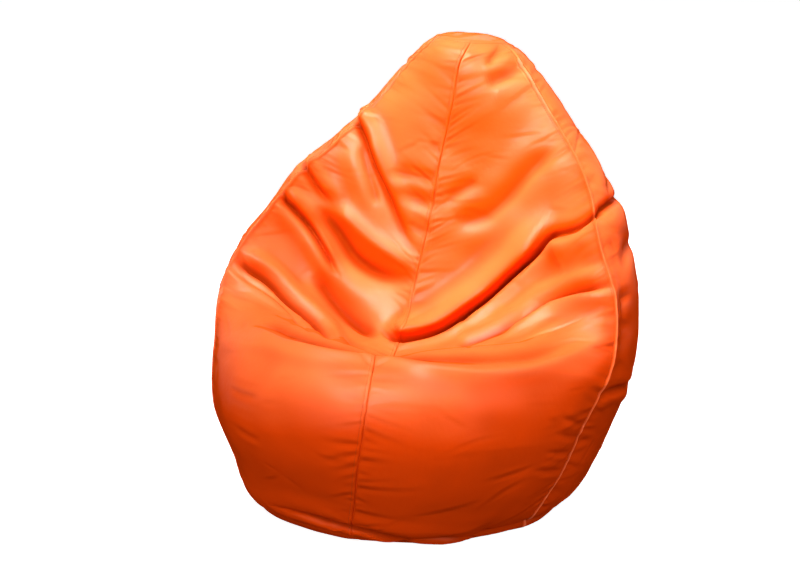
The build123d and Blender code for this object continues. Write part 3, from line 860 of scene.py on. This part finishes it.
def moulded_nylon(name, colour):
    material, tree, place = new_material(name, base_color=linear(colour), ior=1.53, subsurface_weight=.05)
    return shade(material, roughness=map_range(tree, noise(tree, place, 2, 3.0), .3, .45))


def nickel_plate():
    """Nickel-plated zinc, dulled unevenly by handling."""
    material, tree, place = new_material("nickel_plated_zinc", metallic=1.0, base_color=linear("#C9C6C0"))
    wear = noise(tree, place, 3, 6.0)
    return shade(material, roughness=map_range(tree, wear, .18, .42), normal=bump(tree, wear, .1, .05))


def foam_beads():
    """Expanded polystyrene beads, packed together."""
    material, tree, place = new_material("polystyrene_beads", roughness=.7, subsurface_weight=.15)
    beads = texture(tree, "Voronoi", place, 4)
    return shade(material, base_color=mix_colours(tree, beads, "#F7F7F4", "#D9D8D3"),
                 normal=bump(tree, beads, 1.0, 1.5, invert=True))


def over_neighbours(merge, field, reach):
    """Each value merged with its neighbours within a reach of rows and columns."""
    for axis in (0, 1):
        padded = np.pad(field, [(reach, reach) if a == axis else (0, 0) for a in (0, 1)], mode="edge")
        steps = [range(step, step + field.shape[axis]) for step in range(2 * reach + 1)]
        field = merge([np.take(padded, step, axis=axis) for step in steps], axis=0)
    return field


def mark(piece, name, values):
    """Keeps a value per point for the material, the same on both faces."""
    layer = piece.data.attributes.new(name, "FLOAT", "POINT")
    layer.data.foreach_set("value", np.resize(np.ravel(values), len(piece.data.vertices)))


def mark_painted_light(piece, grid, push, ridge_highlights):
    """Marks painted shade deep in a fold, and painted light where the cloth faces up and on the raised seam
    ridges.
    """
    # painted shade: the further a point lies below its neighbours, the more of the darker fold colour it
    # gets
    sunk = over_neighbours(np.mean, push, FOLD_SHADE_REACH) - push
    deep = over_neighbours(np.mean, np.clip(sunk / FOLD_SHADE_DEPTH, 0, 1), 1)
    mark(piece, "painted_fold_shade", deep)
    # painted light: paler where the cloth, averaged over its neighbours, faces up
    upwards = over_neighbours(np.mean, grid_normals(grid)[..., 2], PAINTED_LIGHT_REACH)
    painted_light = smooth((upwards - PAINTED_LIGHT_FROM) / (PAINTED_LIGHT_TO - PAINTED_LIGHT_FROM)) * (1 - deep)
    mark(piece, "painted_light", np.maximum(painted_light, ridge_highlights))


def make_cover(skin, material, rng):
    """The six gores, the cap and the base."""
    surface = skin.surface()
    for number, (name, grid, push) in enumerate(zip(GORES, surface, skin.push)):
        piece = sew_panel("cover_" + name, grid, COVER)
        # painted highlight along the raised seams
        ridge_highlights = sum(bell(far, RIDGE_HIGHLIGHT_WIDTH) for seam, far in skin.seams_of(number) if seam in RAISED_SEAMS)
        mark_painted_light(piece, grid, push, ridge_highlights)
        dress(piece, material, "leatherette", "cover_panel_" + name)
    seed = rng.integers(1 << 30)

    def crumpled(grid, share):
        dome = CAP_DOME * (1 - (1 - share) ** 2)
        return dome + waves(grid, seed, *CAP_WAVES) * CAP_CRUMPLE * smooth(share / CAP_EDGE)

    def let_down(grid, share):
        return -COVER * smooth(share / SOLE_EDGE)

    lid = disc_grid(rim_of(surface, -1), CAP_RINGS, shape=crumpled)
    cap = sew_disc("cover_cap", lid, COVER)
    # painted light over the whole cap, which faces up
    mark(cap, "painted_light", np.ones(1))
    dress(cap, material, "leatherette", "top_cap")
    sole = disc_grid(rim_of(surface, 0), SOLE_RINGS, shape=let_down)
    base = sew_disc("cover_base", sole, SOLE, faces_up=False)
    dress(base, material, "leatherette", "base_panel")
    return surface


def sew_threads(surface, zip_rows, thread):
    """Topstitching beside each seam, and on both sides of the zip."""
    whole = (2, ROWS - 2)
    for number, name in enumerate(GORES):
        line, normals = row_beside_seam(surface[number], -1, FELL_STITCH)
        stitch("stitching_" + name, line, normals, whole, thread)
    line, normals = row_beside_seam(surface[3], 0, FELL_STITCH)
    stitch("stitching_zip_left", line, normals, zip_rows, thread)
    row = -1 - CAP_STITCH_ROWS
    rim, outs = rim_of(surface, row), rim_of([grid_normals(grid) for grid in surface], row)
    stitch("stitching_cap", rim, outs, (0, len(rim)), thread)


def inner_grids(skin, depth, floor, drop):
    """A layer inside the cover, which keeps clear of the bottom of every fold."""
    deep = [np.minimum(over_neighbours(np.min, push, INNER_CLEAR), 0) - depth for push in skin.push]
    rows = np.linspace(0, ROWS - 1, INNER_ROWS).round().astype(int)
    columns = np.linspace(0, COLUMNS - 1, INNER_COLUMNS).round().astype(int)
    grids = []
    for number in range(6):
        field = deep[number].copy()
        field[:, 0] = np.minimum(deep[number][:, 0], deep[number - 1][:, -1])
        field[:, -1] = np.minimum(deep[number][:, -1], deep[(number + 1) % 6][:, 0])
        grid = (skin.base[number] + skin.normals[number] * field[..., None])[rows][:, columns]
        height = grid[..., 2].copy()
        grid[..., 2] += (floor - COVER) * (1 - smooth((height - COVER) / BELLY_RISE))
        grid[..., 2] -= drop * smooth((height - LEAN_RANGE[0]) / (CROWN_HEIGHT - LEAN_RANGE[0]))
        grids.append(grid)
    return grids


def make_liner(skin, cloth):
    grids = inner_grids(skin, LINER_DEPTH, LINER_FLOOR, LINER_DROP)
    for name, grid in zip(GORES, grids):
        piece = sew_panel("liner_" + name, grid, LINER)
        dress(piece, cloth, "liner_cloth", "liner_panel_" + name)
    rim = rim_of(grids, -1)
    rim[:, 2] = LINER_TOP
    middle = np.array(liner_zip(0, 0, 0))
    aside = rim - middle
    scale = np.minimum(LINER_SLOT[0] / np.abs(aside[:, 0]), LINER_SLOT[1] / np.abs(aside[:, 1]))
    slot = middle + aside * scale[:, None]
    slot[:, 2] = LINER_TOP
    lid = disc_grid(rim, LINER_RINGS, slot)
    cap = sew_disc("liner_cap", lid, LINER)
    dress(cap, cloth, "liner_cloth", "liner_top")
    floor = disc_grid(rim_of(grids, 0), LINER_RINGS)
    sole = sew_disc("liner_sole", floor, LINER, faces_up=False)
    dress(sole, cloth, "liner_cloth", "liner_base")


def make_filling(skin, material):
    grids = inner_grids(skin, FILL_DEPTH, FILL_FLOOR, FILL_DROP)
    wall = np.concatenate([grid[:, :-1] for grid in grids], axis=1)
    rows, columns = wall.shape[:2]
    faces = ring_faces(rows, columns).tolist()
    ends = [wall[0].mean(axis=0), wall[-1].mean(axis=0)]
    foot, head = rows * columns, rows * columns + 1
    low = np.arange(columns)
    high = low + (rows - 1) * columns
    faces += [[foot, b, a] for a, b in zip(low, np.roll(low, -1))]
    faces += [[head, a, b] for a, b in zip(high, np.roll(high, -1))]
    piece = make_object("bead_filling", np.concatenate([wall.reshape(-1, 3), ends]), faces)
    dress(piece, material, "beads", "bead_fill")


def cover_zip(across, out, along):
    """A point on the cover's zip, which runs up an arc in the back seam."""
    turn = along / ZIP_RADIUS
    reach = ZIP_RADIUS + out
    x, y, z = ZIP_CENTRE
    return x + across, y + reach * math.cos(turn), z + reach * math.sin(turn)


def liner_zip(across, out, along):
    """A point on the liner's zip, which runs to the right across its top."""
    return BELLY_SHIFT + CROWN_LEAN + along, CROWN_Y + across, LINER_TOP + out


def make_zip(name, track, ends, sides, tape, teeth, slots):
    """The two tapes and coils of a zip: each turn of a coil is a small bar."""
    turned = 1 if track is cover_zip else -1
    for side, word in sides:
        along = np.arange(ends[0] - TAPE_PAST, ends[1] + TAPE_PAST + 1, TAPE_STEP)
        across = np.linspace(TOOTH[0], TAPE_HALF, TAPE_COLUMNS)[::side * turned] * side
        grid = np.array([[track(wide, TAPE_TOP, place) for wide in across] for place in along])
        piece = sew_panel(f"{name}_tape_{word}", grid, TAPE)
        dress(piece, tape, slots[0], f"{name}_tape_{word}")
        places = np.arange(ends[0] + COIL_PITCH, ends[1], COIL_PITCH)
        middle, height = side * (TOOTH[0] + TOOTH[1]) / 2, (TAPE_TOP + TOOTH_TOP) / 2
        spots = [(middle, height), (middle + 1, height), (middle, height + 1)]
        centres, beside, above = [np.array([track(*spot, place) for place in places]) for spot in spots]
        ways, outs = unit(beside - centres), unit(above - centres)
        size = (TOOTH[1] - TOOTH[0], COIL_PITCH * COIL_WIRE, TOOTH_TOP - TAPE_TOP)
        coil = capsules(f"{name}_coil_{word}", centres, ways, outs, size)
        dress(coil, teeth, slots[1], f"{name}_teeth_{word}")


def finish_metal(metal):
    for node in METAL_NODES:
        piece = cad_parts[node]
        piece.data.materials.clear()
        piece.data.materials.append(metal)


def add_camera():
    data = bpy.data.cameras.new("photo_camera")
    data.sensor_width = SENSOR_WIDTH
    data.lens = FOCAL_PIXELS * SENSOR_WIDTH / PHOTO_WIDTH
    camera = add_object("photo_camera", data)
    camera.location = Vector(CAMERA_PLACE) * MM
    camera.rotation_euler = (math.radians(90 - CAMERA_PITCH), 0, math.radians(CAMERA_HEADING))
    bpy.context.scene.camera = camera


def add_softbox(name, place, aim, size, power, spread):
    data = bpy.data.lights.new(name, "AREA")
    data.shape, data.size, data.energy = "SQUARE", size, power
    data.spread = math.radians(spread)
    lamp = add_object(name, data)
    lamp.location = place
    lamp.rotation_euler = (Vector(aim) - Vector(place)).to_track_quat("-Z", "Y").to_euler()


def seen_directly(tree):
    """1 for what the camera sees directly, in a reflection or through glass, and otherwise 0."""
    path = add_node(tree, "LightPath")
    seen = path.outputs["Is Camera Ray"]
    for other in ("Is Glossy Ray", "Is Transmission Ray"):
        seen = combine(tree, "MAXIMUM", seen, path.outputs[other])
    return seen


def add_stage():
    bpy.ops.mesh.primitive_plane_add(size=FLOOR_SIZE, location=(0, 0, 0))
    floor = bpy.context.object
    floor.name = "floor"
    material, tree, place = new_material("pale_studio_floor", roughness=.9, specular_ior_level=.0,
                                         emission_color=linear("#FFFFFF"))
    mottle = add_node(tree, "TexNoise", {"Vector": place, "Scale": 3.0}).outputs["Fac"]
    seen = seen_directly(tree)
    pale = mix_colours(tree, mottle, "#FFFFFF", "#FDFDFD")
    shade(material, base_color=mix_colours(tree, seen, FLOOR_BOUNCE, pale),
          emission_strength=combine(tree, "MULTIPLY", seen, FLOOR_GLOW))
    floor.data.materials.append(material)
    world = bpy.data.worlds.new("studio")
    bpy.context.scene.world = world
    world.use_nodes = True
    tree = world.node_tree
    level = map_range(tree, seen_directly(tree), WORLD_LIGHT, 1.0)
    set_inputs(tree, tree.nodes["Background"], {"Color": linear("#FFFFFF"), "Strength": level})
    for name, shape in SOFTBOXES.items():
        add_softbox(name, *shape)
    bpy.context.scene.view_settings.view_transform = "Standard"


def main():
    rng = np.random.default_rng(SEED)
    skin = Skin()
    undulate(skin, rng)
    for way, depth, width, more in [*FOLDS.values(), *[(way, *PLEAT) for way in PLEATS]]:
        fold_in_photo(skin, way, depth, width, **more)
    for gore, way, depth, width in HIDDEN_FOLDS:
        fold(skin, *skin.way_on_gore(gore, way), depth, width)
    for shape in SWELLS.values():
        swell(skin, *shape)
    for shape in SHIFTS.values():
        shift(skin, *shape)
    pucker(skin, rng)
    crinkle(skin, rng)
    tuck(skin, rng)
    round_crown(skin)
    zip_share = quiet_zip(skin)
    sew(skin, zip_share)
    surface = make_cover(skin, leatherette(), rng)
    in_zip = np.flatnonzero(zip_share > ZIP_CALM_FULL)
    sew_threads(surface, (in_zip[0], in_zip[-1]), spun_thread())
    make_liner(skin, woven("liner_cloth", "#E9E6DF", "#FBFAF6", 1.1))
    make_filling(skin, foam_beads())
    make_zip("zip", cover_zip, ZIP_ENDS, ((1, "right"), (-1, "left")),
             woven("zip_tape", "#8F2F08", "#C24A12", .6), moulded_nylon("nylon_coil", "#B8430F"),
             ("zip_tape", "zip_teeth"))
    make_zip("liner_zip", liner_zip, LINER_ZIP_ENDS, ((1, "back"), (-1, "front")),
             woven("liner_tape", "#DDD9D0", "#F4F1EA", .6), moulded_nylon("liner_coil", "#EFECE6"),
             ("liner_tape", "liner_teeth"))
    finish_metal(nickel_plate())
    add_camera()
    add_stage()


main()
